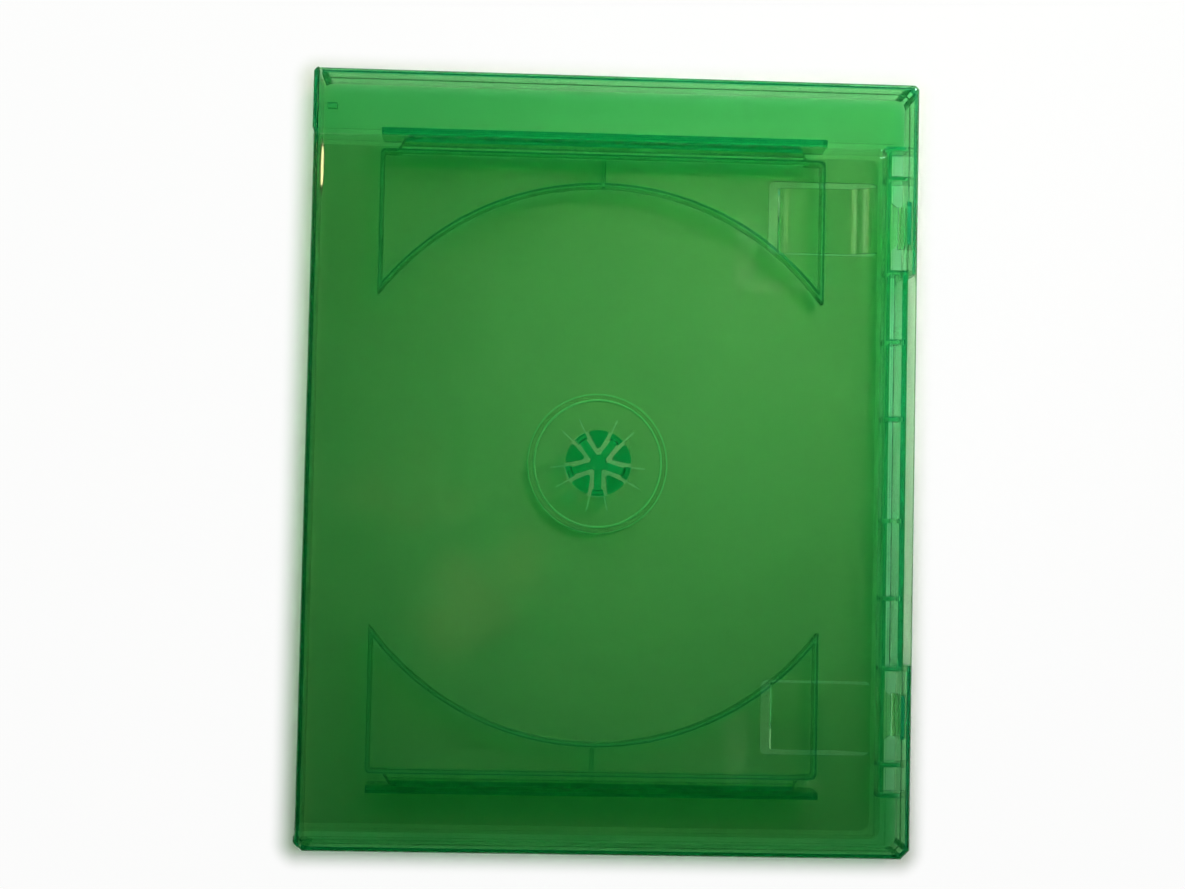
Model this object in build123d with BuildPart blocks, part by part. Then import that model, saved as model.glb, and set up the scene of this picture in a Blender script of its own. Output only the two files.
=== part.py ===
from build123d import *
import math
import os

# Hinged disc case, closed and lying on its back. X runs from the spine to the opening edge,
# Y from the bottom edge to the top edge and Z up through the front cover. The origin is the
# middle of the back. All sizes are in millimetres and angles in degrees.

# Overall case
case_width = 135.0
case_height = 172.0
case_depth = 14.0
panel_wall = 1.35
spine_wall = 1.3
rim_wall = 1.0
seam_gap = 0.2
rim_spine_gap = 0.5
rim_corner_radius = 2.4
bottom_chamfer = 2.0
top_chamfer = 0.9
edge_round = 0.8

# Living hinges between the spine and the two halves
hinge_inset = 0.6
hinge_gap = 0.1
hinge_groove = 0.35

# Recess for the clear sleeve, and the film that lies in it
sleeve_recess = 0.35
header_height = 13.6
footer_height = 3.3
side_band = 5.6
film_margin = 1.1
film_thickness = 0.12
film_gap = 0.08

# Disc hub: a raised platform with fixed lugs round a five-armed release button
hub_offset = -2.5
hub_rise = 4.0
hub_wall = 1.2
platform_radius = 14.5
platform_draft = 1.2
platform_wall = 0.9
platform_edge = 0.4
rosette_radius = 7.4
rosette_gap = 0.2
rosette_lead = 0.45
arm_count = 5
first_arm_angle = 54.0
lug_half_angle = 19.0
lug_tip_radius = 2.8
lug_rise = 3.6
lug_corner = 0.6
tooth_half_angle = 11.5
tooth_depth = 1.5
tooth_rise = 3.2
spoke_width = 1.7
spoke_wall = 1.6
spoke_lift = 0.2
button_radius = 1.9
button_rise = 0.8
dish_depth = 0.4
slot_width = 0.35
slot_half_angle = 12.5
slot_reach = 10.8

# Ribs that frame the disc and its corner pockets
disc_clear_radius = 62.5
rib_wall = 0.8
rib_height = 6.0
pocket_half_width = 49.9
pocket_end = 69.4
pocket_corners = (0.7, 1.0)

# Tall hollow ridges across the top and the bottom of the tray
ridge_outer = 73.6
ridge_wall = 1.6
ridge_slope = 2.6
ridge_web = 1.2
ridge_half_length = 49.9
ridge_web_inset = 3.2
ridge_hip = 3.0
ridge_headroom = 2.15

# Ladder of walls along the opening edge, with the thumb notch outside it
notch_depth = 1.3
notch_half_length = 43.5
notch_radius = 1.1
thumb_wall = 1.3
thumb_wall_height = 9.5
channel_width = 2.1
ladder_wall = 1.2
ladder_height = 6.5
rung_wall = 1.0
inner_rungs = (11.5, 29.0, 44.7)
end_rungs = (66.1, 72.9)

# Latches: a ledge on the tray and a hooked tongue on the cover
latch_y = 55.0
ledge_reach = 1.5
ledge_wall = 1.2
ledge_length = 11.0
ledge_slant = 1.3
tongue_wall = 0.9
tongue_length = 9.6
tongue_gap = 0.35
tongue_drop = 9.0
hook_gap = 0.3
hook_height = 1.2
hook_flat = 0.25

# Booklet clips on the front cover
clip_y = 55.3
clip_edge = 9.0
clip_window_length = 24.5
clip_window_height = 16.4
clip_corner = 1.5
clip_wall = 1.0
clip_side_gap = 0.9
clip_root = 0.8
clip_bend_radius = 5.0
clip_bend_angle = 45.0
clip_flat = 10.4
clip_flare_radius = 6.0
clip_flare_angle = 42.0

# Small moulded marks: a locating stud by the spine and ejector pads along the bottom
stud_length = 2.2
stud_wall = 1.1
stud_height = 2.5
stud_from_spine = 2.3
stud_from_top = 6.3
pad_radius = 1.2
pad_height = 0.2
pad_from_bottom = 6.7
pad_places = (-44.9, -29.5, -8.0, 14.0, 41.9)

half_width = case_width / 2
half_height = case_height / 2
hinge_x = -half_width + hinge_inset
tray_rim_top = (case_depth - seam_gap) / 2
cover_rim_bottom = (case_depth + seam_gap) / 2
cover_inside = case_depth - panel_wall
rim_inner_x = half_width - rim_wall
recess_top = half_height - header_height
recess_bottom = -half_height + footer_height
recess_right = half_width - side_band
ridge_inner = ridge_outer - ridge_wall
ridge_top = cover_inside - ridge_headroom
thumb_wall_x = half_width - notch_depth - thumb_wall
ladder_outer_x = thumb_wall_x - channel_width
ladder_inner_x = ladder_outer_x - ladder_wall
hub_plane = Plane((hub_offset, 0, 0))
hub_section = Plane((hub_offset, 0, 0), x_dir=(1, 0, 0), z_dir=(0, -1, 0))
hub_axis = Axis((hub_offset, 0, 0), (0, 0, 1))
hub_under = hub_rise - hub_wall


def tray_plane(y):
    """Plane across the case whose X is the case's X and whose Y runs in from the back face."""
    return Plane((0, y, 0), x_dir=(1, 0, 0), z_dir=(0, -1, 0))


def cover_plane(y):
    """Plane across the case whose X is the case's X and whose Y runs in from the front face."""
    return Plane((0, y, case_depth), x_dir=(1, 0, 0), z_dir=(0, 1, 0))


def panel_section(plane, recess):
    """Section across a half's panel, its spine edge hollowed round the hinge's nose."""
    nose = hinge_inset - recess
    socket = nose + hinge_gap
    hollow = math.degrees(math.asin(nose / socket))
    with BuildSketch(plane) as section:
        with BuildLine():
            edge = CenterArc((hinge_x, hinge_inset), socket, -hollow, hollow)
            corners = [
                edge @ 1,
                (hinge_x + socket, panel_wall),
                (half_width, panel_wall),
                (half_width, 0),
            ]
            if recess:
                corners += [(recess_right, 0), (recess_right, recess)]
            Polyline(*corners, edge @ 0)
        make_face()
    return section.sketch


def spine_section(y, recess):
    """Section across the spine, a wall that thins to a rounded nose on each hinge axis."""
    nose = hinge_inset - recess
    web_reach = hinge_inset - sleeve_recess
    web_x = hinge_x + web_reach
    wall_x = -half_width + spine_wall
    groove = panel_wall + hinge_groove
    lean = math.degrees(math.acos(web_reach / nose))
    with BuildSketch(tray_plane(y)) as section:
        with BuildLine():
            low = CenterArc((hinge_x, hinge_inset), nose, 180, 180 + lean)
            high = CenterArc((hinge_x, case_depth - hinge_inset), nose, -lean, 180 + lean)
            Polyline(
                low @ 1,
                (web_x, groove),
                (wall_x, groove),
                (wall_x, case_depth - groove),
                (web_x, case_depth - groove),
                high @ 0,
            )
            Line(high @ 1, low @ 0)
        make_face()
    return section.sketch


def corner_waste():
    """Triangles outside the chamfered corners of the case's outline."""
    with BuildSketch() as waste:
        for side in (-1, 1):
            for end, size in ((-1, bottom_chamfer), (1, top_chamfer)):
                corner_x = side * half_width
                corner_y = end * half_height
                with BuildLine():
                    Polyline(
                        (corner_x, corner_y),
                        (corner_x - side * size, corner_y),
                        (corner_x, corner_y - end * size),
                        close=True,
                    )
                make_face()
    return waste.sketch


def rim_section(height):
    """Rim along the top, bottom and opening edges, open at the spine and at the thumb notch."""
    start_x = -half_width + spine_wall + rim_spine_gap
    with BuildSketch(Plane.XY.offset(height)) as rim:
        Rectangle(case_width, case_height)
        RectangleRounded(
            case_width - 2 * rim_wall,
            case_height - 2 * rim_wall,
            rim_corner_radius,
            mode=Mode.SUBTRACT,
        )
        with Locations((start_x, 0)):
            Rectangle(case_width, case_height, align=(Align.MAX, Align.CENTER), mode=Mode.SUBTRACT)
        with Locations((half_width, 0)):
            Rectangle(2 * rim_wall, 2 * notch_half_length, mode=Mode.SUBTRACT)
    return rim.sketch


def outline_edges(piece, level):
    """Edges of a half's outline on its outer face, apart from the one along the hinge."""
    end_y = half_height - bottom_chamfer / 2 - seam_gap
    side_x = half_width - hinge_gap / 2
    edges = piece.edges().filter_by_position(Axis.Z, level, level)
    return edges.filter_by(lambda edge: abs(edge.center().Y) > end_y or edge.center().X > side_x)


def rosette_sector(inner_radius, outer_radius, half_angle):
    """Sector of the rosette in plan, centred on the X axis and ended by arcs."""
    with BuildSketch() as sector:
        with BuildLine():
            outer = CenterArc((0, 0), outer_radius, -half_angle, 2 * half_angle)
            inner = CenterArc((0, 0), inner_radius, -half_angle, 2 * half_angle)
            Line(inner @ 0, outer @ 0)
            Line(inner @ 1, outer @ 1)
        make_face()
    return sector.sketch


def rosette_lug(outer_radius):
    """Fixed lug of the rosette in plan, a shield that points at the hub's centre."""
    with BuildSketch() as lug:
        with BuildLine():
            outer = CenterArc((0, 0), outer_radius, -lug_half_angle, 2 * lug_half_angle)
            Polyline(outer @ 1, (lug_tip_radius, 0), outer @ 0)
        make_face()
        fillet(lug.vertices(), lug_corner)
    return lug.sketch


def film_sheet(plane, left, right):
    """Sheet of the sleeve's film between two places across the case."""
    top = recess_top - film_margin
    bottom = recess_bottom + film_margin
    with BuildSketch(plane) as sheet:
        with Locations(((left + right) / 2, (top + bottom) / 2)):
            Rectangle(right - left, top - bottom)
    return sheet.sketch


# Fixed lugs of the hub's rosette, which locate the disc's centre hole
with BuildPart() as rosette:
    lug_start = first_arm_angle + 180 / arm_count
    with BuildSketch(hub_plane.offset(hub_under)) as lugs:
        with PolarLocations(0, arm_count, lug_start):
            add(rosette_lug(rosette_radius))
    extrude(amount=hub_wall + lug_rise)
    chamfer(rosette.edges().group_by(Axis.Z)[-1], rosette_lead)
    with BuildSketch(hub_plane.offset(hub_under)) as lug_feet:
        with PolarLocations(0, arm_count, lug_start):
            add(rosette_lug(rosette_radius + 2 * rosette_gap))
    extrude(amount=hub_wall)

# Back half: panel, rims, ribs, ladder and disc hub in one moulding
with BuildPart() as tray:
    extrude(panel_section(tray_plane(half_height), 0), amount=header_height)
    extrude(panel_section(tray_plane(recess_top), sleeve_recess), amount=recess_top - recess_bottom)
    extrude(panel_section(tray_plane(recess_bottom), 0), amount=footer_height)
    extrude(rim_section(0), amount=tray_rim_top)

    # Ribs round the disc and round the four corner pockets outside it
    rib_radius = disc_clear_radius + rib_wall / 2
    pocket_start = math.sqrt(rib_radius**2 - pocket_half_width**2)
    pocket_angle = math.degrees(math.atan2(pocket_start, pocket_half_width))
    with BuildSketch(hub_plane.offset(sleeve_recess)) as pocket_ribs:
        with BuildLine():
            FilletPolyline(
                (-pocket_half_width, pocket_start),
                (-pocket_half_width, pocket_end),
                (pocket_half_width, pocket_end),
                (pocket_half_width, pocket_start),
                radius=pocket_corners,
            )
            CenterArc((0, 0), rib_radius, pocket_angle, 180 - 2 * pocket_angle)
        trace(line_width=rib_wall)
        with Locations((-pocket_half_width, pocket_start), (pocket_half_width, pocket_start)):
            Circle(rib_wall / 2)
        with Locations((0, (rib_radius + pocket_end) / 2)):
            Rectangle(rib_wall, pocket_end - rib_radius)
        mirror(about=Plane.XZ)
    extrude(amount=rib_height - sleeve_recess)

    # Hollow ridges: an upright wall with a sloping web on its inner side, open at the back
    ridge_lean = ridge_top - panel_wall
    web_length = math.hypot(ridge_slope, ridge_lean)
    web_across = ridge_web * web_length / ridge_lean
    web_foot = ridge_inner - ridge_slope
    web_half_length = ridge_half_length - ridge_web_inset
    slot_inside = web_foot + web_across
    slot_outside = slot_inside - panel_wall * ridge_slope / ridge_lean
    for end in (-1, 1):
        across = Plane((hub_offset, 0, 0), x_dir=(0, end, 0), z_dir=(end, 0, 0))
        with BuildSketch(across) as ridge_slot:
            with BuildLine():
                Polyline(
                    (ridge_inner, 0),
                    (ridge_inner, panel_wall),
                    (slot_inside, panel_wall),
                    (slot_outside, 0),
                    close=True,
                )
            make_face()
        extrude(amount=web_half_length - rib_wall, both=True, mode=Mode.SUBTRACT)
        with BuildSketch(hub_plane.offset(sleeve_recess)) as ridge_walls:
            with Locations((0, end * (ridge_outer - ridge_wall / 2))):
                Rectangle(2 * ridge_half_length, ridge_wall)
        extrude(amount=ridge_top - sleeve_recess)
        web_plane = Plane(
            (hub_offset, end * web_foot, panel_wall),
            x_dir=(1, 0, 0),
            z_dir=(0, -ridge_lean, end * ridge_slope),
        )
        with BuildSketch(web_plane) as ridge_webs:
            with BuildLine():
                Polyline(
                    (-web_half_length, 0),
                    (web_half_length, 0),
                    (web_half_length - ridge_hip, web_length),
                    (ridge_hip - web_half_length, web_length),
                    close=True,
                )
            make_face()
        extrude(amount=-end * ridge_web)

    # Ladder along the opening edge, with its floor open between the rungs
    rungs = sorted(end * y for end in (-1, 1) for y in inner_rungs + end_rungs)
    with BuildSketch() as ladder_windows:
        for low, high in zip(rungs, rungs[1:]):
            in_end_bay = max(abs(low), abs(high)) > inner_rungs[-1]
            far_x = rim_inner_x if in_end_bay else thumb_wall_x
            with Locations(((ladder_outer_x + far_x) / 2, (low + high) / 2)):
                Rectangle(far_x - ladder_outer_x, high - low - rung_wall)
    extrude(amount=panel_wall, mode=Mode.SUBTRACT)
    with BuildSketch(Plane.XY.offset(sleeve_recess)) as ladder:
        with Locations((ladder_inner_x + ladder_wall / 2, 0)):
            Rectangle(ladder_wall, 2 * end_rungs[-1] + rung_wall)
        for y in rungs:
            with Locations(((ladder_inner_x + rim_inner_x) / 2, y)):
                Rectangle(rim_inner_x - ladder_inner_x, rung_wall)
    extrude(amount=ladder_height - sleeve_recess)
    with BuildSketch() as thumb_notch:
        with Locations((half_width, 0)):
            RectangleRounded(2 * notch_depth, 2 * notch_half_length, notch_radius)
    extrude(amount=panel_wall, mode=Mode.SUBTRACT)
    with BuildSketch() as thumb_walls:
        with Locations((thumb_wall_x + thumb_wall / 2, 0)):
            Rectangle(thumb_wall, 2 * inner_rungs[-1])
    extrude(amount=thumb_wall_height)
    with BuildSketch(Plane.XY.offset(ladder_height - ledge_wall)) as latch_ledges:
        for end in (-1, 1):
            with BuildLine():
                Polyline(
                    (ladder_outer_x, end * latch_y - ledge_length / 2),
                    (ladder_outer_x + ledge_reach, end * latch_y - ledge_length / 2 + ledge_slant),
                    (ladder_outer_x + ledge_reach, end * latch_y + ledge_length / 2 - ledge_slant),
                    (ladder_outer_x, end * latch_y + ledge_length / 2),
                    close=True,
                )
            make_face()
    extrude(amount=ledge_wall)

    # Raised hub platform, hollow behind, with its drafted wall
    platform_base = platform_radius + platform_draft
    draft_rate = platform_draft / (hub_rise - panel_wall)
    wall_across = platform_wall * math.hypot(1, draft_rate)
    with BuildSketch(hub_plane) as platform_hole:
        Circle(platform_base)
    extrude(amount=panel_wall, mode=Mode.SUBTRACT)
    with BuildSketch(hub_section) as platform:
        with BuildLine():
            Polyline(
                (platform_base + hub_wall, sleeve_recess),
                (platform_base + hub_wall, panel_wall),
                (platform_base, panel_wall),
                (platform_radius, hub_rise),
                (rosette_radius + rosette_gap, hub_rise),
                (rosette_radius + rosette_gap, hub_under),
                (platform_radius + draft_rate * hub_wall - wall_across, hub_under),
                (platform_base + draft_rate * (panel_wall - sleeve_recess) - wall_across, sleeve_recess),
                close=True,
            )
        make_face()
        fillet(platform.vertices().group_by(Axis.Y)[-1].sort_by(Axis.X)[-1], platform_edge)
    revolve(axis=hub_axis)

    # Slots that free each tooth's tongue from the platform
    for side in (-1, 1):
        with BuildSketch(hub_plane.offset(hub_under)) as tongue_slots:
            slot_start = rosette_radius
            with PolarLocations(slot_start, arm_count, first_arm_angle + side * slot_half_angle):
                Rectangle(slot_reach - slot_start, slot_width, align=(Align.MIN, Align.CENTER))
        extrude(amount=hub_wall, mode=Mode.SUBTRACT)

    add(rosette.part)

    # Locating stud by the spine
    with BuildSketch() as stud:
        with Locations((-half_width + stud_from_spine, half_height - stud_from_top)):
            Rectangle(stud_length, stud_wall, align=(Align.MIN, Align.CENTER))
    extrude(amount=panel_wall + stud_height)
    extrude(corner_waste(), amount=case_depth, mode=Mode.SUBTRACT)
    fillet(outline_edges(tray, 0), edge_round)

# Release button of the hub: a dished button on five spokes that end in disc teeth
with BuildPart() as hub_release:
    spoke_bottom = hub_rise + spoke_lift
    spoke_top = spoke_bottom + spoke_wall
    button_top = spoke_top + button_rise
    tooth_inner = rosette_radius - tooth_depth
    with BuildSketch(hub_plane.offset(hub_rise)) as teeth:
        with PolarLocations(0, arm_count, first_arm_angle):
            add(rosette_sector(tooth_inner, rosette_radius, tooth_half_angle))
    extrude(amount=tooth_rise)
    chamfer(hub_release.edges().group_by(Axis.Z)[-1], rosette_lead)
    with BuildSketch(hub_plane.offset(hub_under)) as tooth_feet:
        with PolarLocations(0, arm_count, first_arm_angle):
            add(rosette_sector(tooth_inner, rosette_radius - rosette_gap, tooth_half_angle))
    extrude(amount=hub_wall)
    with BuildSketch(hub_plane.offset(spoke_bottom)) as spokes:
        with PolarLocations(0, arm_count, first_arm_angle):
            Rectangle(tooth_inner + tooth_depth / 2, spoke_width, align=(Align.MIN, Align.CENTER))
    extrude(amount=spoke_wall)
    with BuildSketch(hub_section) as button:
        with BuildLine():
            Polyline(
                (0, button_top - dish_depth),
                (0, spoke_bottom),
                (button_radius, spoke_bottom),
                (button_radius, button_top),
            )
            TangentArc((0, button_top - dish_depth), (button_radius, button_top), tangent=(1, 0))
        make_face()
    revolve(axis=hub_axis)

# Spine: a plain wall between the two hinge lines
with BuildPart() as spine:
    spine_recess_top = recess_top + hinge_gap
    spine_recess_bottom = recess_bottom - hinge_gap
    extrude(spine_section(half_height, 0), amount=half_height - spine_recess_top)
    extrude(spine_section(spine_recess_top, sleeve_recess), amount=spine_recess_top - spine_recess_bottom)
    extrude(spine_section(spine_recess_bottom, 0), amount=half_height + spine_recess_bottom)
    extrude(corner_waste(), amount=case_depth, mode=Mode.SUBTRACT)

# Front half: panel, rims, booklet clips and latch tongues in one moulding
with BuildPart() as cover:
    extrude(panel_section(cover_plane(-half_height), 0), amount=footer_height)
    extrude(panel_section(cover_plane(recess_bottom), sleeve_recess), amount=recess_top - recess_bottom)
    extrude(panel_section(cover_plane(recess_top), 0), amount=header_height)
    extrude(rim_section(cover_rim_bottom), amount=case_depth - cover_rim_bottom)

    # Clip windows, each with a springy tongue that hangs inside the panel
    window_right = half_width - clip_edge
    clip_centre_z = cover_inside + (panel_wall - sleeve_recess) / 2
    for end in (-1, 1):
        with BuildSketch(Plane.XY.offset(cover_inside)) as clip_window:
            with Locations((window_right - clip_window_length / 2, end * clip_y)):
                RectangleRounded(clip_window_length, clip_window_height, clip_corner)
        extrude(amount=panel_wall, mode=Mode.SUBTRACT)
        with BuildSketch(tray_plane(end * clip_y)) as clip_tongue:
            with BuildLine():
                root = Line((window_right + clip_root, clip_centre_z), (window_right, clip_centre_z))
                fall = JernArc(root @ 1, root % 1, clip_bend_radius, clip_bend_angle)
                level = JernArc(fall @ 1, fall % 1, clip_bend_radius, -clip_bend_angle)
                flat = Line(level @ 1, (level @ 1) + (level % 1) * clip_flat)
                JernArc(flat @ 1, flat % 1, clip_flare_radius, clip_flare_angle)
            trace(line_width=clip_wall)
        extrude(amount=clip_window_height / 2 - clip_side_gap, both=True)

    # Latch tongues, hooked at the free end below the tray's ledges
    tongue_outer_x = rim_inner_x - tongue_gap
    tongue_inner_x = tongue_outer_x - tongue_wall
    tongue_end = cover_inside - tongue_drop
    hook_x = ladder_outer_x + ledge_reach + hook_gap
    for end in (-1, 1):
        with BuildSketch(tray_plane(end * latch_y)) as latch_tongue:
            with BuildLine():
                Polyline(
                    (tongue_outer_x, tongue_end),
                    (tongue_outer_x, cover_inside + panel_wall / 2),
                    (tongue_inner_x, cover_inside + panel_wall / 2),
                    (tongue_inner_x, tongue_end + hook_height),
                    (hook_x, tongue_end + (hook_height + hook_flat) / 2),
                    (hook_x, tongue_end + (hook_height - hook_flat) / 2),
                    (tongue_inner_x, tongue_end),
                    close=True,
                )
            make_face()
        extrude(amount=tongue_length / 2, both=True)

    # Ejector pads inside the bottom of the panel
    with BuildSketch(Plane.XY.offset(cover_inside - pad_height)) as pads:
        with Locations(*[(x, pad_from_bottom - half_height) for x in pad_places]):
            Circle(pad_radius)
    extrude(amount=pad_height + panel_wall / 2)
    extrude(corner_waste(), amount=case_depth, mode=Mode.SUBTRACT)
    fillet(outline_edges(cover, case_depth), edge_round)

# Clear sleeve: one film round the case, in a panel for each moving half and the spine
film_left = hinge_x + hinge_gap / 2
film_right = recess_right - film_margin
film_foot = sleeve_recess - film_gap - film_thickness
with BuildPart() as sleeve_back:
    extrude(film_sheet(Plane.XY.offset(film_foot), film_left, film_right), amount=film_thickness)

with BuildPart() as sleeve_front:
    front_level = case_depth - film_foot
    extrude(film_sheet(Plane.XY.offset(front_level), film_left, film_right), amount=-film_thickness)

with BuildPart() as sleeve_spine:
    film_low = hinge_inset + hinge_gap / 2
    upright = Plane((film_foot - half_width, 0, 0), x_dir=(0, 0, 1), z_dir=(-1, 0, 0))
    extrude(film_sheet(upright, film_low, case_depth - film_low), amount=-film_thickness)

os.makedirs("parts", exist_ok=True)
for piece, label in (
    (tray, "disc_tray"),
    (hub_release, "hub_release"),
    (spine, "spine"),
    (cover, "front_cover"),
    (sleeve_back, "sleeve_back"),
    (sleeve_spine, "sleeve_spine"),
    (sleeve_front, "sleeve_front"),
):
    piece.part.label = label
    export_step(piece.part, f"parts/{label}.step")
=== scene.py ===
"""Dresses the hinged disc case: clear green moulding, clear film sleeve, pale studio floor."""

import logging
import math
from dataclasses import dataclass
from enum import Enum

import bmesh
import bpy
from mathutils import Matrix, Vector, noise


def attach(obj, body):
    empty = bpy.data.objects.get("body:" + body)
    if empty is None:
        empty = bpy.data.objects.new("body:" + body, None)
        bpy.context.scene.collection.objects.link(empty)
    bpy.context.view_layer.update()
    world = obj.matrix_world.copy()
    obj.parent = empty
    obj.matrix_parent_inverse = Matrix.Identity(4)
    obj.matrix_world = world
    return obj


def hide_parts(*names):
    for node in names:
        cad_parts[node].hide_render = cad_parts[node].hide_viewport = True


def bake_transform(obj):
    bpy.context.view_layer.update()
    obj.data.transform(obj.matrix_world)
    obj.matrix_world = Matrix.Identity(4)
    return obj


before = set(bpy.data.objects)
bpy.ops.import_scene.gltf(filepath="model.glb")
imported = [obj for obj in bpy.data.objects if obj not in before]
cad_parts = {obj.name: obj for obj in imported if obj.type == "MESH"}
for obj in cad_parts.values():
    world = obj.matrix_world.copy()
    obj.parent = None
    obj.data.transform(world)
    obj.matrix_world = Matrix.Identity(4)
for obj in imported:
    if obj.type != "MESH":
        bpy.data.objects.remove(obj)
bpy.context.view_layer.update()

LOG = logging.getLogger("disc_case")
MM = 0.001

# Pieces are shaped in millimetres. Points closer than the first are merged, and a cut or a
# search for an edge allows the second.
MERGE_GAP = 0.001
CUT_GAP = 0.0001

# Place of the hub's axis across the case, in millimetres.
HUB_X = -2.5

# Sums of vectors that give a number.
NUMBER_SUMS = ("LENGTH", "DISTANCE", "DOT_PRODUCT")

# A lamp's face runs from 0 to 1 each way, and its light fades over this distance from the middle.
LAMP_MIDDLE = (0.5, 0.5, 0.0)
SOFT_EDGE = (0.2, 0.5)

Colour = tuple[float, float, float]
Point = tuple[float, float, float]
Span = tuple[float, float]
Tree = bpy.types.NodeTree
Socket = bpy.types.NodeSocket


class Body(str, Enum):
    """Bodies of the case that pieces ride on."""

    TRAY = "tray"
    SPINE = "spine"
    COVER = "cover"


class Slot(str, Enum):
    """Material slots of the record."""

    PLASTIC = "green_plastic"
    FILM = "clear_film"


class Side(Enum):
    """Faces of the case that a sheet of the sleeve lies on."""

    FRONT = "front"
    BACK = "back"


def opaque(colour: Colour) -> tuple[float, float, float, float]:
    """Gives a colour with full alpha."""
    return (*colour, 1.0)


def ease(share: float) -> float:
    """Eases a share in and out, held between 0 and 1."""
    held = max(0.0, min(1.0, share))
    return held * held * (3.0 - 2.0 * held)


def make_object(shape: bmesh.types.BMesh, name: str) -> bpy.types.Object:
    """Turns a finished shape into an object of the scene.

    Args:
        shape: The shape, which is freed.
        name: Name of the object and its mesh.

    Returns:
        The object.
    """
    mesh = bpy.data.meshes.new(name)
    shape.to_mesh(mesh)
    shape.free()
    piece = bpy.data.objects.new(name, mesh)
    bpy.context.scene.collection.objects.link(piece)
    return piece


def smooth_to_metres(shape: bmesh.types.BMesh) -> None:
    """Brings a shape from millimetres to metres and shades it smooth.

    Args:
        shape: The shape.
    """
    bmesh.ops.scale(shape, vec=(MM, MM, MM), verts=shape.verts)
    for face in shape.faces:
        face.smooth = True


def new_material(name: str) -> bpy.types.Material:
    """Makes a material with an empty node tree.

    Args:
        name: Name of the material.

    Returns:
        The material, with nothing in its tree.
    """
    material = bpy.data.materials.new(name)
    material.use_nodes = True
    material.node_tree.nodes.clear()
    return material


def piece_place(tree: Tree) -> Socket:
    """Adds the piece's own coordinates to a node tree and gives their socket."""
    return tree.nodes.new("ShaderNodeTexCoord").outputs["Object"]


def add_math(tree: Tree, operation: str, *terms: float | Socket) -> Socket:
    """Adds one sum to a node tree.

    Args:
        tree: Tree that takes the node.
        operation: Name of the Math node's operation.
        terms: Numbers or sockets, in the order of the node's inputs.

    Returns:
        The socket that holds the result.
    """
    node = tree.nodes.new("ShaderNodeMath")
    node.operation = operation
    for socket, term in zip(node.inputs, terms):
        if isinstance(term, Socket):
            tree.links.new(term, socket)
        else:
            socket.default_value = term
    return node.outputs["Value"]


def add_vector_math(tree: Tree, operation: str, place: Socket, term: Point = (0.0, 0.0, 0.0)) -> Socket:
    """Adds one sum of vectors to a node tree.

    Args:
        tree: Tree that takes the node.
        operation: Name of the Vector Math node's operation.
        place: Socket with the first vector.
        term: The second vector, where the operation has one.

    Returns:
        The socket that holds the result.
    """
    node = tree.nodes.new("ShaderNodeVectorMath")
    node.operation = operation
    node.inputs[1].default_value = term
    tree.links.new(place, node.inputs[0])
    return node.outputs["Value" if operation in NUMBER_SUMS else "Vector"]


def add_range(tree: Tree, value: Socket, source: Span, target: Span, smooth: bool = False) -> Socket:
    """Adds a node that maps one range of values onto another, held at its ends.

    Args:
        tree: Tree that takes the node.
        value: Socket to map.
        source: Range that is read.
        target: Range that is given.
        smooth: Eases in and out of the range.

    Returns:
        The socket that holds the result.
    """
    node = tree.nodes.new("ShaderNodeMapRange")
    node.interpolation_type = "SMOOTHSTEP" if smooth else "LINEAR"
    node.inputs["From Min"].default_value, node.inputs["From Max"].default_value = source
    node.inputs["To Min"].default_value, node.inputs["To Max"].default_value = target
    tree.links.new(value, node.inputs["Value"])
    return node.outputs["Result"]


def add_noise(tree: Tree, place: Socket, scale: float, detail: float) -> Socket:
    """Adds one noise texture.

    Args:
        tree: Tree that takes the node.
        place: Socket with the coordinates.
        scale: Scale of the noise, per unit of the coordinates.
        detail: Octaves of the noise.

    Returns:
        The socket that holds the noise.
    """
    node = tree.nodes.new("ShaderNodeTexNoise")
    node.inputs["Scale"].default_value = scale
    node.inputs["Detail"].default_value = detail
    tree.links.new(place, node.inputs["Vector"])
    return node.outputs["Fac"]


def add_split(tree: Tree, place: Socket) -> bpy.types.NodeOutputs:
    """Adds a node that splits a place into its X, Y and Z.

    Args:
        tree: Tree that takes the node.
        place: Socket with the place.

    Returns:
        The node's outputs.
    """
    node = tree.nodes.new("ShaderNodeSeparateXYZ")
    tree.links.new(place, node.inputs["Vector"])
    return node.outputs


def add_bump(tree: Tree, height: Socket, distance: float) -> Socket:
    """Adds a bump to a node tree.

    Args:
        tree: Tree that takes the node.
        height: Socket with the height, from 0 to 1.
        distance: Depth of the bump, in metres.

    Returns:
        The socket that holds the normal.
    """
    node = tree.nodes.new("ShaderNodeBump")
    node.inputs["Distance"].default_value = distance
    tree.links.new(height, node.inputs["Height"])
    return node.outputs["Normal"]


def mix_colours(tree: Tree, share: Socket, first: Colour | Socket, second: Colour) -> Socket:
    """Adds a mix of two colours.

    Args:
        tree: Tree that takes the node.
        share: Socket with the share of the second colour.
        first: The first colour, or a socket that holds it.
        second: The second colour.

    Returns:
        The socket that holds the mixed colour.
    """
    node = tree.nodes.new("ShaderNodeMix")
    node.data_type = "RGBA"
    node.inputs["B"].default_value = opaque(second)
    tree.links.new(share, node.inputs["Factor"])
    if isinstance(first, Socket):
        tree.links.new(first, node.inputs["A"])
    else:
        node.inputs["A"].default_value = opaque(first)
    return node.outputs["Result"]


def add_shader(tree: Tree, kind: str, colour: Colour) -> Socket:
    """Adds a shader of one colour.

    Args:
        tree: Tree that takes the node.
        kind: Type of the shader node.
        colour: Its colour.

    Returns:
        The shader's socket.
    """
    node = tree.nodes.new(kind)
    node.inputs["Color"].default_value = opaque(colour)
    return node.outputs["BSDF"]


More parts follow.
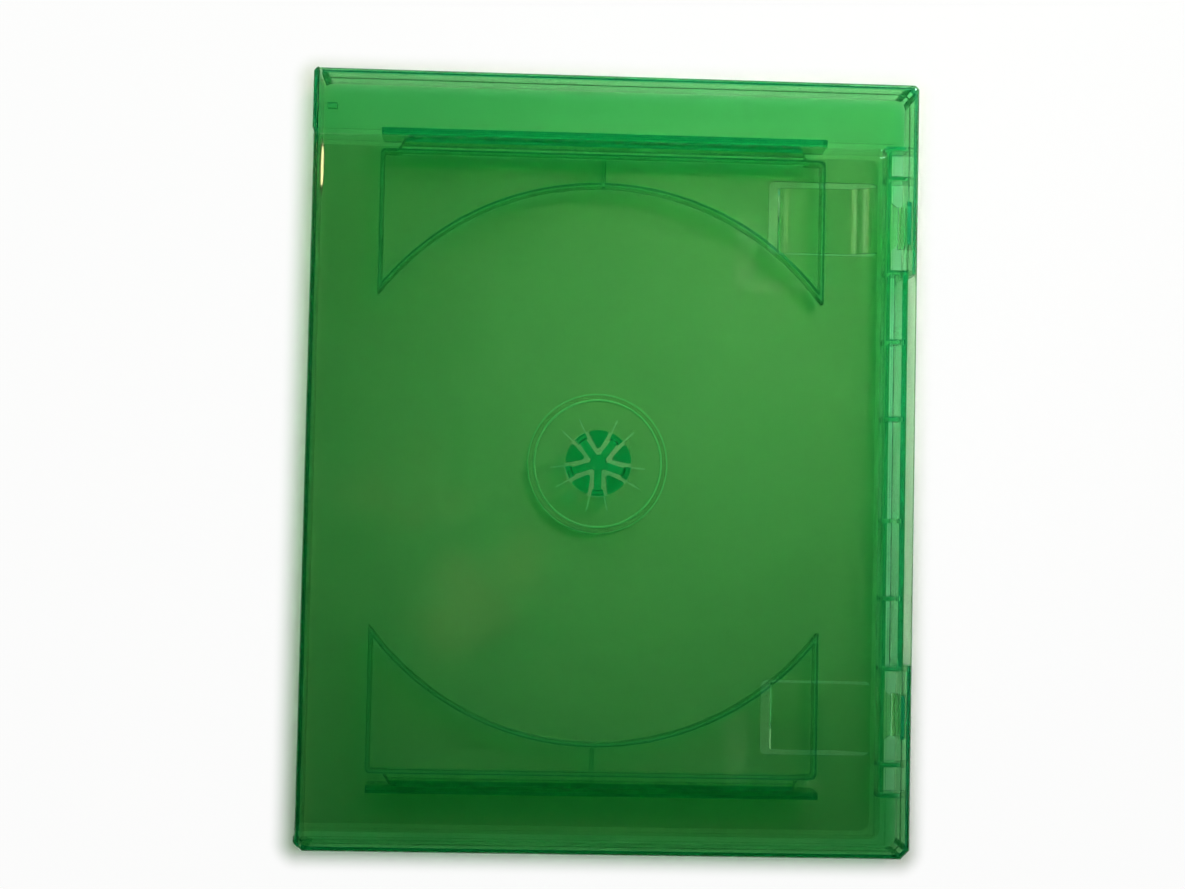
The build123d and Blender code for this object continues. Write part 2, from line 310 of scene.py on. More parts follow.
def mix_shaders(tree: Tree, share: float | Socket, first: Socket, second: Socket) -> Socket:
    """Adds a mix of two shaders.

    Args:
        tree: Tree that takes the node.
        share: Share of the second shader.
        first: The first shader.
        second: The second shader.

    Returns:
        The mixed shader's socket.
    """
    node = tree.nodes.new("ShaderNodeMixShader")
    if isinstance(share, Socket):
        tree.links.new(share, node.inputs["Fac"])
    else:
        node.inputs["Fac"].default_value = share
    tree.links.new(first, node.inputs[1])
    tree.links.new(second, node.inputs[2])
    return node.outputs["Shader"]


def lamps_pass(tree: Tree) -> Socket:
    """Adds a mask that is 1 for the rays that carry lamp light through a clear wall."""
    path = tree.nodes.new("ShaderNodeLightPath")
    return add_math(tree, "MAXIMUM", path.outputs["Is Shadow Ray"], path.outputs["Is Diffuse Ray"])


class SurfaceGroup:
    """Shader node group that turns a piece's own coordinates into masks."""

    name: str
    outputs: tuple[str, ...]

    def add_masks(self, tree: Tree, place: Socket) -> tuple[Socket, ...]:
        """Adds the group's nodes and gives the sockets of its masks, in the order of its outputs."""
        raise NotImplementedError

    def build(self) -> Tree:
        """Builds the group.

        Returns:
            The shader node group, with a place as input and its masks as outputs.
        """
        tree = bpy.data.node_groups.new(self.name, "ShaderNodeTree")
        tree.interface.new_socket("Place", in_out="INPUT", socket_type="NodeSocketVector")
        for output in self.outputs:
            tree.interface.new_socket(output, in_out="OUTPUT", socket_type="NodeSocketFloat")
        start = tree.nodes.new("NodeGroupInput")
        end = tree.nodes.new("NodeGroupOutput")
        for output, mask in zip(self.outputs, self.add_masks(tree, start.outputs["Place"])):
            tree.links.new(mask, end.inputs[output])
        return tree

    def place_in(self, tree: Tree) -> bpy.types.NodeOutputs:
        """Places the group in a material, and builds it at its first use.

        Args:
            tree: Node tree of the material.

        Returns:
            The outputs of the group's node.
        """
        group = tree.nodes.new("ShaderNodeGroup")
        group.node_tree = bpy.data.node_groups.get(self.name) or self.build()
        tree.links.new(piece_place(tree), group.inputs["Place"])
        return group.outputs


class HandlingMarks(SurfaceGroup):
    """Slow ripple, fine flecks and hairline scuffs of handled clear plastic."""

    name = "handling_marks"
    outputs = ("Ripple", "Flecks", "Scuffs")
    ripple_scale = 70.0
    ripple_detail = 1.0
    fleck_scale = 900.0
    fleck_detail = 2.0
    fleck_band: Span = (0.3, 0.7)
    scuff_stretch: tuple[Point, ...] = ((2600.0, 90.0, 600.0), (120.0, 2200.0, 600.0))
    scuff_scale = 1.0
    scuff_detail = 1.0
    scuff_band: Span = (0.66, 0.74)

    def add_masks(self, tree: Tree, place: Socket) -> tuple[Socket, ...]:
        """Adds the noise of the ripple and the flecks, and two lays of scuffs.

        Args:
            tree: Tree of the group.
            place: Socket with the coordinates.

        Returns:
            The sockets that hold the ripple, the flecks and the scuffs.
        """
        ripple = add_noise(tree, place, self.ripple_scale, self.ripple_detail)
        flecks = add_noise(tree, place, self.fleck_scale, self.fleck_detail)
        streaks = []
        for stretch in self.scuff_stretch:
            lay = add_vector_math(tree, "MULTIPLY", place, stretch)
            streak = add_noise(tree, lay, self.scuff_scale, self.scuff_detail)
            streaks.append(add_range(tree, streak, self.scuff_band, (0.0, 1.0)))
        return ripple, flecks, add_math(tree, "MAXIMUM", *streaks)

    def add_roughness(
        self, tree: Tree, marks: bpy.types.NodeOutputs, roughness: Span, scuff_roughness: float
    ) -> Socket:
        """Adds a roughness that varies with the flecks and grows on the scuffs."""
        plain = add_range(tree, marks["Flecks"], self.fleck_band, roughness)
        return add_math(tree, "MULTIPLY_ADD", marks["Scuffs"], scuff_roughness, plain)


class LugMask(SurfaceGroup):
    """Mask that is 1 on the hub's solid lugs, where the plastic is thickest."""

    name = "lug_mask"
    outputs = ("Lugs",)
    axis: Point = (HUB_X * MM, 0.0, 6.9 * MM)
    reach = 7.7 * MM
    half_height = 1.2 * MM

    def add_masks(self, tree: Tree, place: Socket) -> tuple[Socket, ...]:
        """Adds the nodes of a short upright cylinder round the lugs.

        Args:
            tree: Tree of the group.
            place: Socket with the coordinates.

        Returns:
            The socket that holds the mask.
        """
        off_axis = add_split(tree, add_vector_math(tree, "SUBTRACT", place, self.axis))
        across = add_math(tree, "MULTIPLY", off_axis["X"], off_axis["X"])
        squared = add_math(tree, "MULTIPLY_ADD", off_axis["Y"], off_axis["Y"], across)
        inside = add_math(tree, "LESS_THAN", squared, self.reach**2)
        level = add_math(tree, "COMPARE", off_axis["Z"], 0.0, self.half_height)
        return (add_math(tree, "MULTIPLY", inside, level),)


@dataclass(frozen=True)
class GreenPlastic:
    """Clear green polypropylene that darkens with the depth of plastic looked through."""

    name: str = "green_plastic"
    tint: Colour = (0.97, 0.99, 0.74)
    flow_tint: Colour = (0.94, 0.98, 0.70)
    lug_tint: Colour = (0.01, 0.93, 0.5)
    lamp_share: float = 0.97
    depth_colour: Colour = (0.21, 0.8625, 0.83)
    depth_density: float = 400.0
    haze: float = 0.06
    haze_colour: Colour = (0.005, 0.42, 0.11)
    ior: float = 1.49
    roughness: Span = (0.008, 0.025)
    scuff_roughness: float = 0.08
    ripple_height: float = 0.02 * MM

    def material(self) -> bpy.types.Material:
        """Builds the material.

        Returns:
            The finished material.
        """
        material = new_material(self.name)
        tree = material.node_tree
        hazy = mix_shaders(tree, self.haze, self.add_shell(tree), self.add_glow(tree))
        lamp_tint = tuple(math.sqrt(part) * self.lamp_share for part in self.tint)
        clear = add_shader(tree, "ShaderNodeBsdfTransparent", lamp_tint)
        depth = tree.nodes.new("ShaderNodeVolumeAbsorption")
        depth.inputs["Color"].default_value = opaque(self.depth_colour)
        depth.inputs["Density"].default_value = self.depth_density
        out = tree.nodes.new("ShaderNodeOutputMaterial")
        tree.links.new(mix_shaders(tree, lamps_pass(tree), hazy, clear), out.inputs["Surface"])
        tree.links.new(depth.outputs["Volume"], out.inputs["Volume"])
        return material

    def add_shell(self, tree: Tree) -> Socket:
        """Adds the clear shell with its flow marks, scuffs, ripple and deep green lugs.

        Args:
            tree: Node tree of the material.

        Returns:
            The shell's shader socket.
        """
        shell = tree.nodes.new("ShaderNodeBsdfPrincipled")
        shell.inputs["IOR"].default_value = self.ior
        shell.inputs["Transmission Weight"].default_value = 1.0
        handling = HandlingMarks()
        marks = handling.place_in(tree)
        flow = mix_colours(tree, marks["Ripple"], self.tint, self.flow_tint)
        deep = mix_colours(tree, LugMask().place_in(tree)["Lugs"], flow, self.lug_tint)
        worn = handling.add_roughness(tree, marks, self.roughness, self.scuff_roughness)
        tree.links.new(deep, shell.inputs["Base Color"])
        tree.links.new(worn, shell.inputs["Roughness"])
        tree.links.new(add_bump(tree, marks["Ripple"], self.ripple_height), shell.inputs["Normal"])
        return shell.outputs["BSDF"]

    def add_glow(self, tree: Tree) -> Socket:
        """Adds the faint milky glow of the plastic, half on each side of its skin.

        Args:
            tree: Node tree of the material.

        Returns:
            The glow's shader socket.
        """
        face = add_shader(tree, "ShaderNodeBsdfDiffuse", self.haze_colour)
        back = add_shader(tree, "ShaderNodeBsdfTranslucent", self.haze_colour)
        return mix_shaders(tree, 0.5, face, back)


@dataclass(frozen=True)
class ClearFilm:
    """Clear thin film that shows mainly by its reflections."""

    name: str = "clear_film"
    roughness: Span = (0.06, 0.14)
    scuff_roughness: float = 0.2
    ripple_height: float = 0.1 * MM
    face_gloss: float = 0.025
    edge_gloss: float = 0.25
    edge_power: float = 5.0
    clearness: Colour = (0.92, 0.93, 0.90)
    # Warm cloudy patches on the front of the sleeve: a painted reflection of warm light, not handling
    # marks.
    painted_reflection_colour: Colour = (0.8, 0.62, 0.36)
    painted_reflection_scale: float = 45.0
    painted_reflection_detail: float = 1.0
    painted_reflection_band: Span = (0.44, 0.66)
    painted_reflection_share: float = 0.025
    painted_reflection_centre: Point = (-36.0 * MM, -22.0 * MM, 14.0 * MM)
    painted_reflection_fade: Span = (8.0 * MM, 34.0 * MM)
    # Extra gloss beside the fold, placed so that the fold lamp's highlight shows brightly there.
    fold_highlight_gloss: float = 0.4
    fold_line: Point = (-65.1 * MM, 63.6 * MM, 14.0 * MM)
    fold_reach: Point = (0.6 * MM, 7.8 * MM, 1.0 * MM)
    fold_fade: Span = (0.6, 1.0)

    def material(self) -> bpy.types.Material:
        """Builds the material.

        Returns:
            The finished material.
        """
        material = new_material(self.name)
        tree = material.node_tree
        clear = add_shader(tree, "ShaderNodeBsdfTransparent", self.clearness)
        glossy = mix_shaders(tree, self.gloss_share(tree), clear, self.add_gloss(tree))
        # Warm diffuse colour mixed into the film: a painted reflection.
        painted_reflection = add_shader(tree, "ShaderNodeBsdfDiffuse", self.painted_reflection_colour)
        out = tree.nodes.new("ShaderNodeOutputMaterial")
        tree.links.new(mix_shaders(tree, self.painted_reflection_mask(tree), glossy, painted_reflection), out.inputs["Surface"])
        return material

    def add_gloss(self, tree: Tree) -> Socket:
        """Adds the film's reflections, with its ripple, flecks and scuffs.

        Args:
            tree: Node tree of the material.

        Returns:
            The gloss's shader socket.
        """
        gloss = tree.nodes.new("ShaderNodeBsdfGlossy")
        handling = HandlingMarks()
        marks = handling.place_in(tree)
        worn = handling.add_roughness(tree, marks, self.roughness, self.scuff_roughness)
        tree.links.new(worn, gloss.inputs["Roughness"])
        tree.links.new(add_bump(tree, marks["Ripple"], self.ripple_height), gloss.inputs["Normal"])
        return gloss.outputs["BSDF"]

    def gloss_share(self, tree: Tree) -> Socket:
        """Adds the share of gloss, which grows at a slant and on the stretch beside the fold.

        Args:
            tree: Node tree of the material.

        Returns:
            The socket that holds the share.
        """
        facing = tree.nodes.new("ShaderNodeLayerWeight")
        edge = add_math(tree, "POWER", facing.outputs["Facing"], self.edge_power)
        plain = add_range(tree, edge, (0.0, 1.0), (self.face_gloss, self.edge_gloss))
        return add_math(tree, "MAXIMUM", plain, self.fold_highlight_mask(tree))

    def fold_highlight_mask(self, tree: Tree) -> Socket:
        """Adds extra gloss on the short stretch beside the fold, placed to brighten the fold lamp's
        highlight there.

        Args:
            tree: Node tree of the material.

        Returns:
            The socket that holds the share of gloss.
        """
        off_line = add_vector_math(tree, "SUBTRACT", piece_place(tree), self.fold_line)
        apart = add_vector_math(tree, "LENGTH", add_vector_math(tree, "DIVIDE", off_line, self.fold_reach))
        return add_range(tree, apart, self.fold_fade, (self.fold_highlight_gloss, 0.0), smooth=True)

    def painted_reflection_mask(self, tree: Tree) -> Socket:
        """Adds a mask of cloudy patches near one place on the front of the sleeve, where a warm reflection
        is painted.

        Args:
            tree: Node tree of the material.

        Returns:
            The socket that holds the mask.
        """
        place = piece_place(tree)
        cloud = add_noise(tree, place, self.painted_reflection_scale, self.painted_reflection_detail)
        patch = add_range(tree, cloud, self.painted_reflection_band, (0.0, self.painted_reflection_share), smooth=True)
        apart = add_vector_math(tree, "DISTANCE", place, self.painted_reflection_centre)
        near = add_range(tree, apart, self.painted_reflection_fade, (1.0, 0.0), smooth=True)
        return add_math(tree, "MULTIPLY", patch, near)


@dataclass(frozen=True)
class FloorPaper:
    """Plain white paper, its own shade round the case and pure white further off."""

    name: str = "floor_paper"
    colour: Colour = (0.93, 0.93, 0.93)
    footprint: Point = (0.0675, 0.086, 0.0)
    fade: Span = (0.0, 0.007)
    white_share: float = 0.96

    def material(self) -> bpy.types.Material:
        """Builds the material.

        Returns:
            The finished material.
        """
        material = new_material(self.name)
        tree = material.node_tree
        paper = add_shader(tree, "ShaderNodeBsdfDiffuse", self.colour)
        white = tree.nodes.new("ShaderNodeEmission").outputs["Emission"]
        out = tree.nodes.new("ShaderNodeOutputMaterial")
        tree.links.new(mix_shaders(tree, self.white_mask(tree), paper, white), out.inputs["Surface"])
        return material

    def white_mask(self, tree: Tree) -> Socket:
        """Adds the share of white, which grows with the distance from the case's footprint.

        The floor beyond the spine keeps its own shade where it is seen through the open cover.

        Args:
            tree: Node tree of the material.

        Returns:
            The socket that holds the share.
        """
        place = piece_place(tree)
        beyond = add_vector_math(tree, "SUBTRACT", add_vector_math(tree, "ABSOLUTE", place), self.footprint)
        apart = add_vector_math(tree, "LENGTH", add_vector_math(tree, "MAXIMUM", beyond))
        away = add_range(tree, apart, self.fade, (0.0, self.white_share), smooth=True)
        path = tree.nodes.new("ShaderNodeLightPath").outputs
        seen = add_math(tree, "MAXIMUM", path["Is Camera Ray"], path["Is Glossy Ray"])
        under_cover = add_math(tree, "LESS_THAN", add_split(tree, place)["X"], -self.footprint[0])
        through = add_math(tree, "MULTIPLY", under_cover, path["Is Transmission Ray"])
        shown = add_math(tree, "MAXIMUM", add_math(tree, "SUBTRACT", seen, through), 0.0)
        return add_math(tree, "MULTIPLY", away, shown)


@dataclass
class CaseMoulding:
    """The green moulding: tray, spine, cover and the hub's release button."""

    nodes: tuple[str, ...] = ("disc_tray", "hub_release", "spine", "front_cover")
    finish: GreenPlastic = GreenPlastic()

    def dress(self) -> None:
        """Gives each node of the moulding its plastic."""
        plastic = self.finish.material()
        for name in self.nodes:
            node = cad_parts[name]
            node.data.materials.clear()
            node.data.materials.append(plastic)
            LOG.info("dressed %s", name)


@dataclass
class HubRings:
    """Fine rolled beads at the top and the foot of the hub platform's wall. Their pale, milky plastic is a
    painted highlight of the wall's rounded edges.

    All sizes are in millimetres. A bead has its radius, its level and half of its thickness.
    """

    name: str = "hub_rings"
    centre: Point = (HUB_X, 0.0, 0.0)
    beads: tuple[Point, ...] = ((14.3, 4.0, 0.24), (15.75, 1.25, 0.18))
    bead_sides: int = 8
    steps: int = 96
    # Pale milky plastic, mostly glow: a painted highlight of the platform wall's rounded edges.
    finish: GreenPlastic = GreenPlastic(name="bead_painted_highlight_plastic", haze=0.75, haze_colour=(0.6, 0.95, 0.66))

    def build(self) -> None:
        """Makes the beads as one piece that rides on the tray."""
        shape = bmesh.new()
        for radius, level, thick in self.beads:
            self.roll_bead(shape, radius, level, thick)
        bmesh.ops.remove_doubles(shape, verts=shape.verts, dist=MERGE_GAP)
        bmesh.ops.recalc_face_normals(shape, faces=shape.faces)
        bmesh.ops.translate(shape, vec=self.centre, verts=shape.verts)
        smooth_to_metres(shape)
        rings = make_object(shape, self.name)
        rings.data.materials.append(self.finish.material())
        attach(rings, Body.TRAY.value)
        LOG.info("made %s", rings.name)

    def roll_bead(self, shape: bmesh.types.BMesh, radius: float, level: float, thick: float) -> None:
        """Spins one round bead about the hub's axis.

        Args:
            shape: Mesh that takes the bead.
            radius: Distance from the axis.
            level: Height of the bead's middle.
            thick: Half of the bead's thickness.
        """
        turn = Matrix.Translation((radius, 0.0, level)) @ Matrix.Rotation(math.pi / 2, 4, "X")
        bmesh.ops.create_circle(shape, segments=self.bead_sides, radius=thick, matrix=turn)
        rim = [edge for edge in shape.edges if edge.is_wire]
        bmesh.ops.spin(
            shape,
            geom=rim,
            cent=(0.0, 0.0, 0.0),
            axis=(0.0, 0.0, 1.0),
            angle=2 * math.pi,
            steps=self.steps,
            use_merge=True,
        )


@dataclass(frozen=True)
class Crease:
    """One family of soft creases in the film, its sizes in millimetres."""

    across: float
    along: float
    turn: float
    height: float
    seed: float

    def lift(self, x: float, y: float) -> float:
        """Gives the height of the creases at a place.

        Args:
            x: Place across the case, in millimetres.
            y: Place up the case, in millimetres.

        Returns:
            Height, in millimetres.
        """
        turn = math.radians(self.turn)
        u = x * math.cos(turn) + y * math.sin(turn)
        v = y * math.cos(turn) - x * math.sin(turn)
        return self.height * noise.noise(Vector((u / self.across, v / self.along, self.seed)))


@dataclass
class FilmSleeve:
    """The clear sleeve, a front and a back sheet that meet along the middle of the spine.

    All sizes are in millimetres.
    """

    right: float = 60.8
    top: float = 71.3
    bottom: float = -81.6
    front_level: float = 13.79
    back_level: float = 0.21
    spine_face: float = -67.29
    fold_radius: float = 0.9
    fold_steps: int = 6
    corner_radius: float = 2.5
    corner_steps: int = 5
    cell: float = 2.2
    thickness: float = 0.1
    bead_width: float = 0.6
    bead_height: float = 0.1
    bead_rows: int = 4
    ridge_start: float = 0.7
    ridge_width: float = 2.4
    ridge_height: float = 0.12
    ridge_span: Span = (56.0, 71.2)
    ridge_rows: int = 9
    edge_hold: float = 9.0
    slack: float = 0.1
    least_lift: float = -0.05
    back_share: float = 0.3
    creases: tuple[Crease, ...] = (
        Crease(across=38.0, along=60.0, turn=20.0, height=0.14, seed=3.1),
        Crease(across=14.0, along=45.0, turn=-32.0, height=0.14, seed=7.7),
        Crease(across=9.0, along=40.0, turn=61.0, height=0.05, seed=1.9),
    )
    finish: ClearFilm = ClearFilm()

    @property
    def left(self) -> float:
        """Place of the panel's left edge, where the fold starts."""
        return self.spine_face + self.fold_radius

    @property
    def upright(self) -> float:
        """Height of the film from the fold to the middle of the spine."""
        return (self.front_level - self.back_level) / 2 - self.fold_radius

    def build(self) -> None:
        """Makes both sheets and hides the sleeve nodes that they replace."""
        film = self.finish.material()
        for side in Side:
            sheet = self.make_sheet(side)
            sheet.data.materials.append(film)
            sheet.visible_shadow = False
            self.hang(sheet, side)
            LOG.info("made %s", sheet.name)

    def hang(self, sheet: bpy.types.Object, side: Side) -> None:
        """Args:
            sheet: The sheet.
            side: Face of the case that it lies on.
        """
        front = side is Side.FRONT
        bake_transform(sheet)
        if front:
            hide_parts("sleeve_front")
        else:
            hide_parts("sleeve_back", "sleeve_spine")

    def make_sheet(self, side: Side) -> bpy.types.Object:
        """Makes one sheet, from its edge beads to the middle of the spine.

        Args:
            side: Face of the case that it lies on.

        Returns:
            The sheet's object.
        """
        shape = bmesh.new()
        self.lay_panel(shape)
        self.crease_panel(shape, 1.0 if side is Side.FRONT else self.back_share)
        self.fold_round_spine(shape)
        if side is Side.BACK:
            self.turn_over(shape)
        bmesh.ops.remove_doubles(shape, verts=shape.verts, dist=MERGE_GAP)
        bmesh.ops.recalc_face_normals(shape, faces=shape.faces)
        bmesh.ops.solidify(shape, geom=shape.faces[:], thickness=self.thickness)
        smooth_to_metres(shape)
        return make_object(shape, f"sleeve_film_{side.value}")

    def turn_over(self, shape: bmesh.types.BMesh) -> None:
        """Mirrors a front sheet to the back, about the middle of the case's depth.

        Args:
            shape: Mesh that holds the sheet.
        """
        middle = (self.front_level + self.back_level) / 2
        about = Matrix.Translation((0.0, 0.0, -middle))
        bmesh.ops.scale(shape, vec=(1.0, 1.0, -1.0), verts=shape.verts, space=about)

    def lay_panel(self, shape: bmesh.types.BMesh) -> None:
        """Lays the flat front panel with its rounded corners and cuts it into cells.

        Args:
            shape: Empty mesh that takes the panel.
        """
        bmesh.ops.create_grid(shape, x_segments=1, y_segments=1, size=0.5)
        bmesh.ops.scale(shape, vec=(self.right - self.left, self.top - self.bottom, 1.0), verts=shape.verts)
        centre = ((self.right + self.left) / 2, (self.top + self.bottom) / 2, self.front_level)
        bmesh.ops.translate(shape, vec=centre, verts=shape.verts)
        bmesh.ops.bevel(
            shape,
            geom=[vert for vert in shape.verts if vert.co.x > centre[0]],
            offset=self.corner_radius,
            offset_type="OFFSET",
            segments=self.corner_steps,
            profile=0.5,
            affect="VERTICES",
            material=-1,
        )
        beads = [self.bead_width * (i + 1) / self.bead_rows for i in range(self.bead_rows)]
        ridge = self.left + self.ridge_start
        across = [self.right - bead for bead in beads] + self.steps(self.left, self.right)
        across += [ridge + self.ridge_width * i / self.ridge_rows for i in range(self.ridge_rows + 1)]
        up = [self.top - bead for bead in beads] + [self.bottom + bead for bead in beads]
        up += self.steps(self.bottom, self.top)
        self.cut(shape, across, Vector((1.0, 0.0, 0.0)))
        self.cut(shape, up, Vector((0.0, 1.0, 0.0)))

    @staticmethod
    def cut(shape: bmesh.types.BMesh, places: list[float], normal: Vector) -> None:
        """Cuts a shape across at several places.

        Args:
            shape: Mesh to cut.
            places: Places of the cuts along the normal.
            normal: Direction that the cuts face.
        """
        for place in places:
            bmesh.ops.bisect_plane(
                shape,
                geom=shape.verts[:] + shape.edges[:] + shape.faces[:],
                plane_co=normal * place,
                plane_no=normal,
                dist=CUT_GAP,
            )

    def steps(self, low: float, high: float) -> list[float]:
        """Divides a length into cells.

        Args:
            low: Start of the length.
            high: End of the length.

        Returns:
            Places between the cells, clear of the beads at the edges.
        """
        count = round((high - low) / self.cell)
        places = [low + (high - low) * i / count for i in range(1, count)]
        return [place for place in places if low + self.bead_width < place < high - self.bead_width]

    def crease_panel(self, shape: bmesh.types.BMesh, share: float) -> None:
        """Lifts the panel into its creases, its edge beads and the ridge beside the fold.

        Args:
            shape: Mesh that holds the flat panel.
            share: Share of the full height that they get.
        """
        for vert in shape.verts:
            x, y = vert.co.x, vert.co.y
            edge = min(self.right - x, self.top - y, y - self.bottom)
            hold = ease(min(edge, x - self.left) / self.edge_hold)
            lift = self.slack + sum(crease.lift(x, y) for crease in self.creases)
            lift = max(lift * hold, self.least_lift)
            if edge < self.bead_width:
                lift += self.bead_height * math.sin(math.pi * edge / self.bead_width)
            vert.co.z += (lift + self.ridge_lift(x - self.left, y)) * share

    def ridge_lift(self, along: float, y: float) -> float:
        """Gives the height of the short ridge beside the fold.

        Args:
            along: Distance from the fold.
            y: Place up the case.

        Returns:
            Height of the ridge.
        """
        low, high = self.ridge_span
        across = (along - self.ridge_start) / self.ridge_width
        up = (y - low) / (high - low)
        if not (0.0 < across < 1.0 and 0.0 < up < 1.0):
            return 0.0
        return self.ridge_height * math.sin(math.pi * across) ** 2 * math.sqrt(math.sin(math.pi * up))

    def fold_round_spine(self, shape: bmesh.types.BMesh) -> None:
        """Folds the panel's left edge over the hinge and down to the middle of the spine.

        Args:
            shape: Mesh that holds the panel.
        """
        rim = [edge for edge in shape.edges if all(vert.co.x < self.left + CUT_GAP for vert in edge.verts)]
        turned = bmesh.ops.spin(
            shape,
            geom=rim,
            cent=(self.left, 0.0, self.front_level - self.fold_radius),
            axis=(0.0, 1.0, 0.0),
            angle=-math.pi / 2,
            steps=self.fold_steps,
        )
        last = [part for part in turned["geom_last"] if isinstance(part, bmesh.types.BMEdge)]
        down = bmesh.ops.extrude_edge_only(shape, edges=last)
        verts = [part for part in down["geom"] if isinstance(part, bmesh.types.BMVert)]
        bmesh.ops.translate(shape, vec=(0.0, 0.0, -self.upright), verts=verts)


@dataclass(frozen=True)
class SoftBox:
    """One flat lamp, its size given across and up.

    A lamp for glints shows in reflections alone. A lamp with receivers lights only those pieces.
    """

    name: str
    place: Point
    aim: Point
    size: Span
    power: float
    colour: Colour
    spread: float = 180.0
    glints_only: bool = False
    edge_fade: Span | None = None
    receivers: tuple[str, ...] = ()

    def build(self) -> None:
        """Hangs the lamp and points it at its aim."""
        lamp = bpy.data.lights.new(self.name, "AREA")
        lamp.shape = "RECTANGLE"
        lamp.size, lamp.size_y = self.size
        lamp.energy = self.power
        lamp.color = self.colour
        lamp.spread = math.radians(self.spread)
        if self.edge_fade:
            self.fade_edge(lamp)
        stand = bpy.data.objects.new(self.name, lamp)
        stand.location = self.place
        stand.rotation_euler = (Vector(self.aim) - Vector(self.place)).to_track_quat("-Z", "Y").to_euler()
        stand.visible_diffuse = not self.glints_only
        stand.visible_transmission = not self.glints_only
        if self.receivers:
            self.limit_light(stand)
        bpy.context.scene.collection.objects.link(stand)

    def fade_edge(self, lamp: bpy.types.AreaLight) -> None:
        """Lets the lamp's light fall off from its middle to its edges.

        Args:
            lamp: The lamp.
        """
        lamp.use_nodes = True
        tree = lamp.node_tree
        tree.nodes.clear()
        face = tree.nodes.new("ShaderNodeNewGeometry")
        light = tree.nodes.new("ShaderNodeEmission")
        out = tree.nodes.new("ShaderNodeOutputLight")
        apart = add_vector_math(tree, "DISTANCE", face.outputs["Parametric"], LAMP_MIDDLE)
        fade = add_range(tree, apart, self.edge_fade, (1.0, 0.0), smooth=True)
        tree.links.new(fade, light.inputs["Strength"])
        tree.links.new(light.outputs["Emission"], out.inputs["Surface"])

    def limit_light(self, stand: bpy.types.Object) -> None:
        """Lets the lamp light its receivers alone.

        Args:
            stand: The lamp's object.
        """
        lit = bpy.data.collections.new(f"{self.name}_receivers")
        for name in self.receivers:
            lit.objects.link(bpy.data.objects[name])
        stand.light_linking.receiver_collection = lit


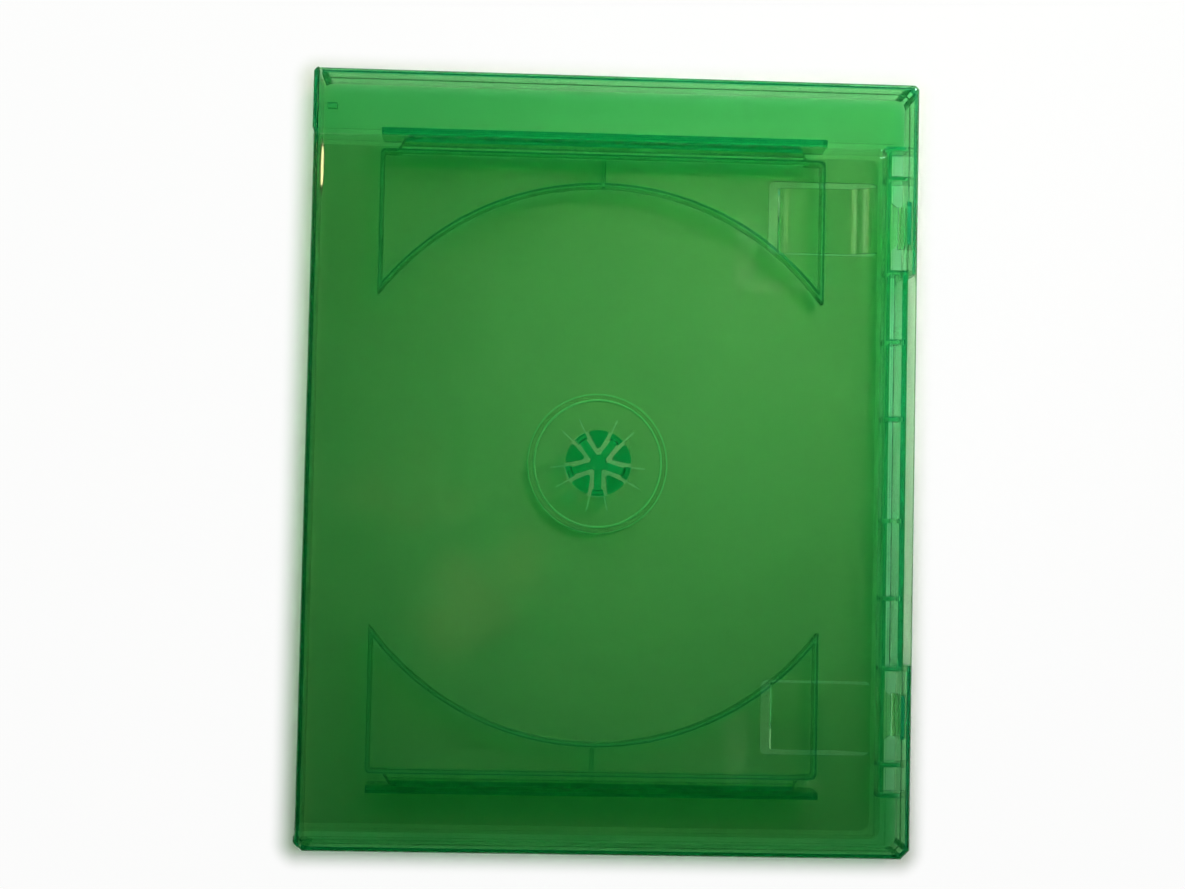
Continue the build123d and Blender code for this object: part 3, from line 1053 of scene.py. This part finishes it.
@dataclass
class Studio:
    """Floor, lamps, surroundings and camera, in metres and watts."""

    floor_size: float = 4.0
    floor_level: float = -0.05 * MM
    floor_paper: FloorPaper = FloorPaper()
    lamps: tuple[SoftBox, ...] = (
        SoftBox(
            name="key_lamp",
            place=(0.12, 0.20, 0.12),
            aim=(0.03, 0.05, 0.0),
            size=(0.16, 0.16),
            power=0.38,
            colour=(0.95, 1.0, 0.8),
            edge_fade=SOFT_EDGE,
        ),
        SoftBox(
            name="back_lamp",
            place=(-0.13, 0.32, 0.16),
            aim=(-0.02, 0.06, 0.0),
            size=(0.8, 0.32),
            power=1.82,
            colour=(0.78, 1.0, 0.7),
            edge_fade=SOFT_EDGE,
        ),
        SoftBox(
            name="right_lamp",
            place=(0.26, 0.13, 0.18),
            aim=(0.04, 0.06, 0.01),
            size=(0.42, 0.38),
            power=0.66,
            colour=(0.75, 1.0, 0.72),
            edge_fade=SOFT_EDGE,
        ),
        SoftBox(
            name="pool_lamp",
            place=(0.25, 0.30, 0.50),
            aim=(0.02, 0.02, 0.0),
            size=(0.1, 0.1),
            power=0.044,
            colour=(1.0, 0.97, 0.88),
            spread=22.0,
        ),
        SoftBox(
            name="corner_lamp",
            place=(-0.11, 0.17, 0.12),
            aim=(-0.06, 0.07, 0.0),
            size=(0.13, 0.13),
            power=0.089,
            colour=(1.0, 0.98, 0.78),
            edge_fade=SOFT_EDGE,
        ),
        SoftBox(
            name="fold_lamp",
            place=(-0.21, 0.138, 0.38),
            aim=(-0.066, 0.065, 0.014),
            size=(0.06, 0.06),
            power=0.03,
            colour=(1.0, 0.88, 0.42),
            glints_only=True,
        ),
        SoftBox(
            name="clip_lamp",
            place=(-0.30, 0.14, 0.30),
            aim=(0.0, 0.03, 0.014),
            size=(0.3, 0.3),
            power=1.3,
            colour=(0.9, 1.0, 0.7),
            glints_only=True,
            edge_fade=(0.05, 0.5),
            receivers=("front_cover",),
        ),
    )
    wall_light: Span = (0.5, 1.6)
    light_lean: Point = (0.6, 1.0, 0.0)
    wall_span: Span = (-1.0, 0.8)
    wall_fade: Span = (0.12, 0.38)
    light_colour: Colour = (1.0, 0.92, 0.7)
    camera_place: Point = (-0.023152, -0.016944, 0.454285)
    camera_aim: Point = (-0.004177, 0.003813, 0.014)
    camera_roll: float = 1.197
    camera_near: float = 0.01
    lens: float = 60.846
    sensor: float = 36.0

    def build(self) -> None:
        """Sets up the floor, the lamps, the surroundings and the camera."""
        self.build_floor()
        for lamp in self.lamps:
            lamp.build()
        self.build_surroundings()
        self.build_camera()

    def build_floor(self) -> None:
        """Lays the floor that the case rests on."""
        shape = bmesh.new()
        bmesh.ops.create_grid(shape, x_segments=1, y_segments=1, size=self.floor_size / 2)
        bmesh.ops.translate(shape, vec=(0.0, 0.0, self.floor_level), verts=shape.verts)
        floor = make_object(shape, "floor")
        floor.data.materials.append(self.floor_paper.material())

    def build_surroundings(self) -> None:
        """Surrounds the case with pale walls under a dark ceiling, brighter on the key lamp's side."""
        world = bpy.data.worlds.new("surroundings")
        world.use_nodes = True
        tree = world.node_tree
        tree.nodes.clear()
        way = tree.nodes.new("ShaderNodeTexCoord").outputs["Generated"]
        lean = add_vector_math(tree, "DOT_PRODUCT", way, self.light_lean)
        wall = add_range(tree, lean, self.wall_span, self.wall_light)
        low = add_range(tree, add_split(tree, way)["Z"], self.wall_fade, (1.0, 0.0), smooth=True)
        sky = tree.nodes.new("ShaderNodeBackground")
        sky.inputs["Color"].default_value = opaque(self.light_colour)
        out = tree.nodes.new("ShaderNodeOutputWorld")
        tree.links.new(add_math(tree, "MULTIPLY", wall, low), sky.inputs["Strength"])
        tree.links.new(sky.outputs["Background"], out.inputs["Surface"])
        bpy.context.scene.world = world

    def build_camera(self) -> None:
        """Places the camera at the photograph's viewing angle."""
        lens = bpy.data.cameras.new("camera")
        lens.sensor_fit = "HORIZONTAL"
        lens.sensor_width = self.sensor
        lens.lens = self.lens
        lens.clip_start = self.camera_near
        camera = bpy.data.objects.new("camera", lens)
        back = (Vector(self.camera_place) - Vector(self.camera_aim)).normalized()
        right = Vector((0.0, 1.0, 0.0)).cross(back).normalized()
        up = back.cross(right)
        level = Matrix((right, up, back)).transposed()
        turn = Matrix.Rotation(math.radians(self.camera_roll), 3, "Z")
        camera.matrix_world = Matrix.Translation(self.camera_place) @ (level @ turn).to_4x4()
        bpy.context.scene.collection.objects.link(camera)
        bpy.context.scene.camera = camera


def set_light_paths() -> None:
    """Lets light through all the clear walls of the closed case, and keeps renders short."""
    scene = bpy.context.scene
    scene.view_settings.view_transform = "Standard"
    scene.cycles.max_bounces = 16
    scene.cycles.transmission_bounces = 16
    scene.cycles.transparent_max_bounces = 32
    scene.cycles.glossy_bounces = 6
    scene.cycles.diffuse_bounces = 2
    scene.cycles.caustics_reflective = False
    scene.cycles.caustics_refractive = False
    scene.cycles.use_denoising = True
    scene.cycles.adaptive_threshold = 0.3


def main() -> None:
    """Builds the case's pieces and the studio in order."""
    logging.basicConfig(level=logging.INFO, format="%(message)s")
    CaseMoulding().dress()
    HubRings().build()
    FilmSleeve().build()
    Studio().build()
    set_light_paths()


if __name__ == "__main__":
    main()
